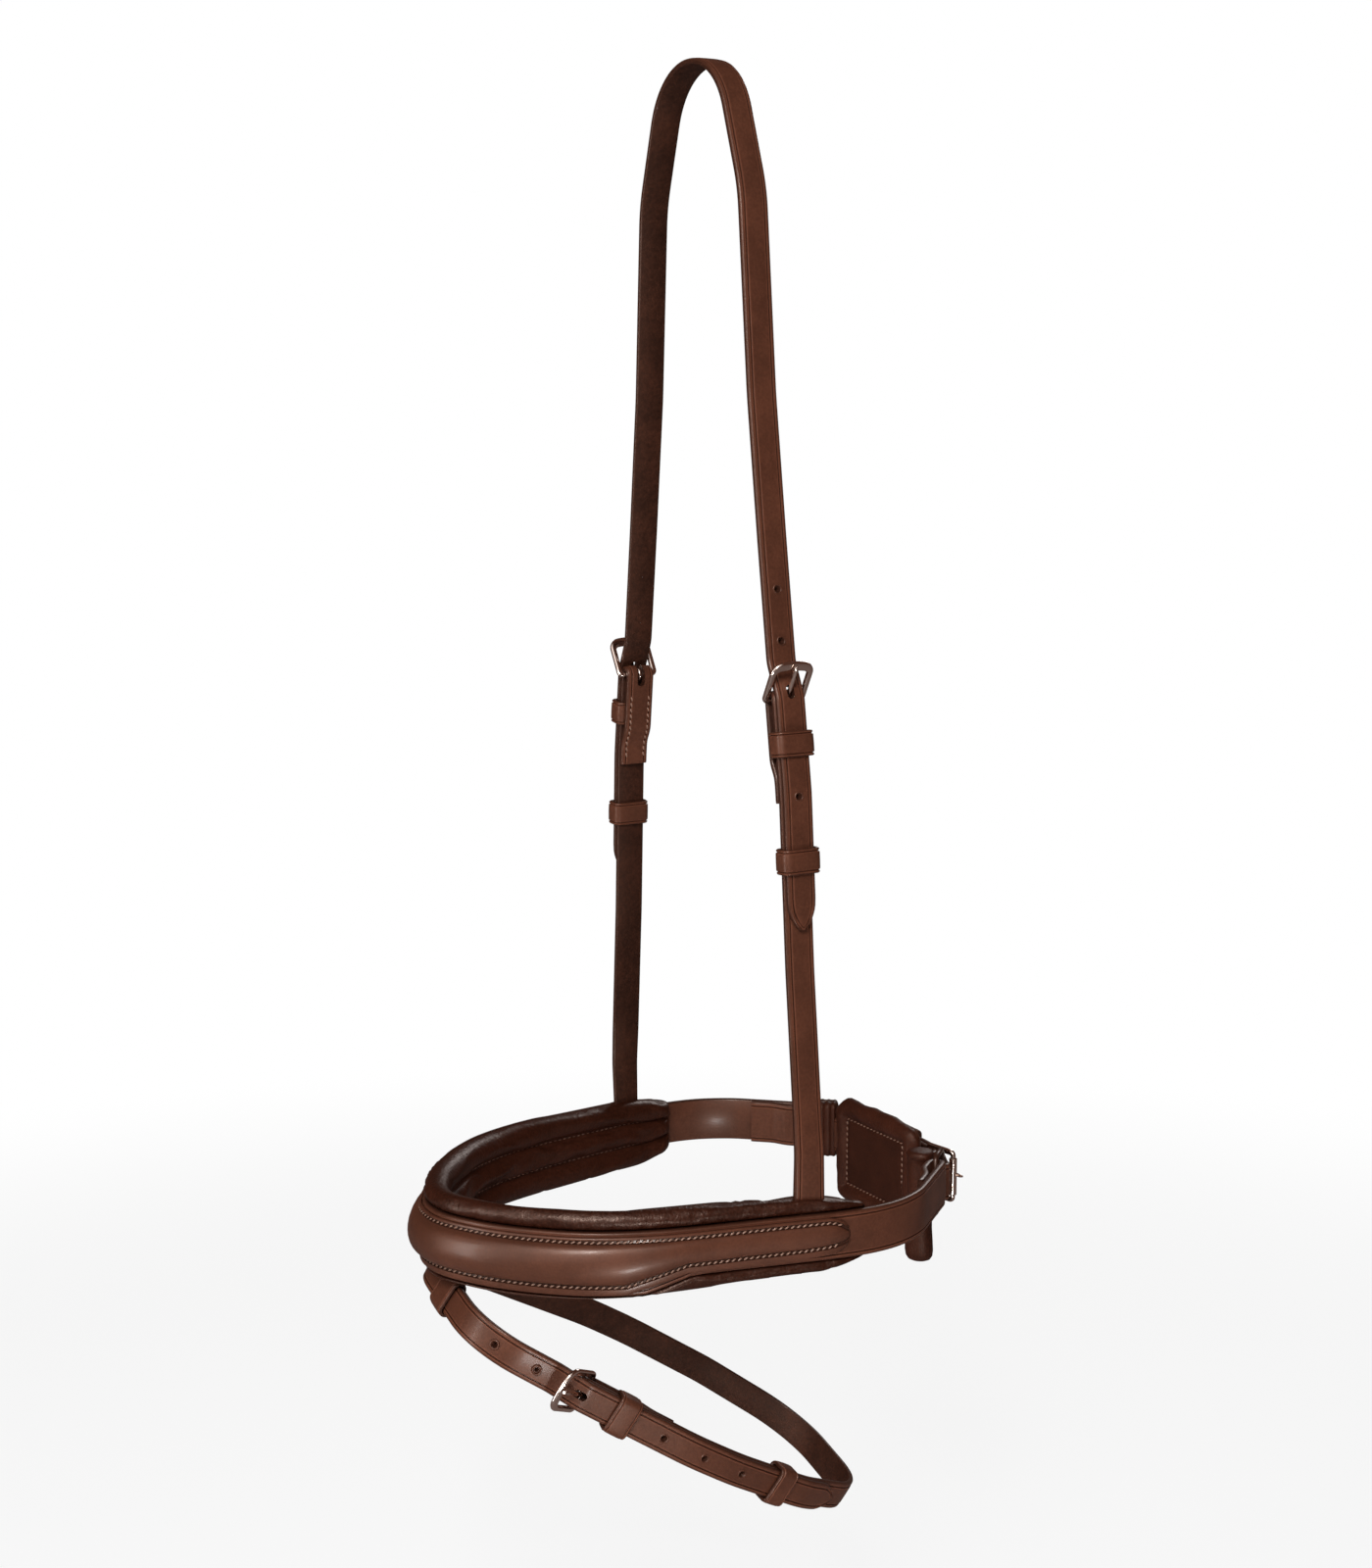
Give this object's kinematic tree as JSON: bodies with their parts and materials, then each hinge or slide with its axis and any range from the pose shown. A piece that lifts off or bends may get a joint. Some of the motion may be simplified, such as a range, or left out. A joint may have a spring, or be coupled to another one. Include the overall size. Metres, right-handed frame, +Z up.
{
  "type": "bridle noseband",
  "caption": "Brown leather bridle noseband: padded nose band on a buckled head strap, a flash strap below and a roller-buckled jaw strap with a chin pad.",
  "frame": {"origin": "the underside of the head strap's top, where it lies over the poll", "axes": "+Z up, -Y towards the horse's nose, +X the horse's near (left) side"},
  "size_m": [0.1732, 0.2425, 0.6044],
  "materials": {
    "bridle_leather": "satin",
    "nappa_lining": "satin",
    "polished_metal": "polished"
  },
  "bodies": {
    "noseband": {"headstrap": "bridle_leather", "near_cheek_strap": "bridle_leather", "off_cheek_strap": "bridle_leather", "near_cheek_fixed_keeper": "bridle_leather", "off_cheek_fixed_keeper": "bridle_leather", "noseband_base_strap": "bridle_leather", "nose_pad": "nappa_lining", "raised_nose_cover": "bridle_leather", "near_end_square": "polished_metal", "off_end_square": "polished_metal", "jaw_strap": "bridle_leather", "chin_fixed_keeper": "bridle_leather", "chin_pad": "nappa_lining", "chin_pad_cuff": "nappa_lining", "chin_pad_loop": "bridle_leather"},
    "flash": {"flash_strap": "bridle_leather", "flash_loop": "bridle_leather", "flash_fixed_keeper": "bridle_leather"},
    "near_cheek_frame": {"near_cheek_buckle_frame": "polished_metal"},
    "near_cheek_tongue": {"near_cheek_buckle_tongue": "polished_metal"},
    "near_cheek_slider": {"near_cheek_sliding_keeper": "bridle_leather"},
    "off_cheek_frame": {"off_cheek_buckle_frame": "polished_metal"},
    "off_cheek_tongue": {"off_cheek_buckle_tongue": "polished_metal"},
    "off_cheek_slider": {"off_cheek_sliding_keeper": "bridle_leather"},
    "flash_frame": {"flash_buckle_frame": "polished_metal"},
    "flash_tongue": {"flash_buckle_tongue": "polished_metal"},
    "flash_slider": {"flash_sliding_keeper": "bridle_leather"},
    "chin_frame": {"chin_buckle_frame": "polished_metal"},
    "chin_tongue": {"chin_buckle_tongue": "polished_metal"},
    "chin_slider": {"chin_sliding_keeper": "bridle_leather"},
    "chin_roller": {"chin_buckle_roller": "polished_metal"}
  },
  "joints": [
    {"name": "flash_swing", "type": "hinge", "parent": "noseband", "child": "flash", "pos_m": [0, -0.1138, -0.4768], "axis": [1, 0, 0], "range_deg": [-30, 6]},
    {"name": "near_cheek_frame_hinge", "type": "hinge", "parent": "noseband", "child": "near_cheek_frame", "pos_m": [0.06045, 0.00321, -0.24681], "axis": [0, 0.9999, 0.013], "range_deg": [0, 3]},
    {"name": "near_cheek_tongue_hinge", "type": "hinge", "parent": "near_cheek_frame", "child": "near_cheek_tongue", "pos_m": [0.06045, 0.00321, -0.24681], "axis": [0, 0.9999, 0.013], "range_deg": [0, 4]},
    {"name": "off_cheek_frame_hinge", "type": "hinge", "parent": "noseband", "child": "off_cheek_frame", "pos_m": [-0.06045, 0.00321, -0.24681], "axis": [0, -0.9999, -0.013], "range_deg": [0, 3]},
    {"name": "off_cheek_tongue_hinge", "type": "hinge", "parent": "off_cheek_frame", "child": "off_cheek_tongue", "pos_m": [-0.06045, 0.00321, -0.24681], "axis": [0, -0.9999, -0.013], "range_deg": [0, 4]},
    {"name": "flash_frame_hinge", "type": "hinge", "parent": "flash", "child": "flash_frame", "pos_m": [0.04478, -0.07734, -0.51734], "axis": [0.1719, 0.5176, 0.8381], "range_deg": [0, 3]},
    {"name": "flash_tongue_hinge", "type": "hinge", "parent": "flash_frame", "child": "flash_tongue", "pos_m": [0.04478, -0.07734, -0.51734], "axis": [0.1719, 0.5176, 0.8381], "range_deg": [0, 4]},
    {"name": "chin_frame_hinge", "type": "hinge", "parent": "noseband", "child": "chin_frame", "pos_m": [0.02249, 0.10214, -0.4605], "axis": [0, 0, 1], "range_deg": [0, 3]},
    {"name": "chin_tongue_hinge", "type": "hinge", "parent": "chin_frame", "child": "chin_tongue", "pos_m": [0.02249, 0.10214, -0.4605], "axis": [0, 0, 1], "range_deg": [0, 4]},
    {"name": "near_cheek_keeper_slide", "type": "slide", "parent": "noseband", "child": "near_cheek_slider", "axis": [0.0593, 0.013, -0.9982], "range_m": [-0.012, 0.024]},
    {"name": "off_cheek_keeper_slide", "type": "slide", "parent": "noseband", "child": "off_cheek_slider", "axis": [-0.0593, 0.013, -0.9982], "range_m": [-0.012, 0.024]},
    {"name": "flash_keeper_slide", "type": "slide", "parent": "flash", "child": "flash_slider", "axis": [-0.1676, 0.8538, -0.4929], "range_m": [-0.006, 0.006]},
    {"name": "chin_keeper_slide", "type": "slide", "parent": "noseband", "child": "chin_slider", "axis": [-0.9812, -0.1931, 0], "range_m": [-0.005, 0.002]},
    {"name": "chin_roller_spin", "type": "hinge", "parent": "chin_frame", "child": "chin_roller", "pos_m": [0.03731, 0.10448, -0.4605], "axis": [0, 0, 1], "continuous": true}
  ]
}
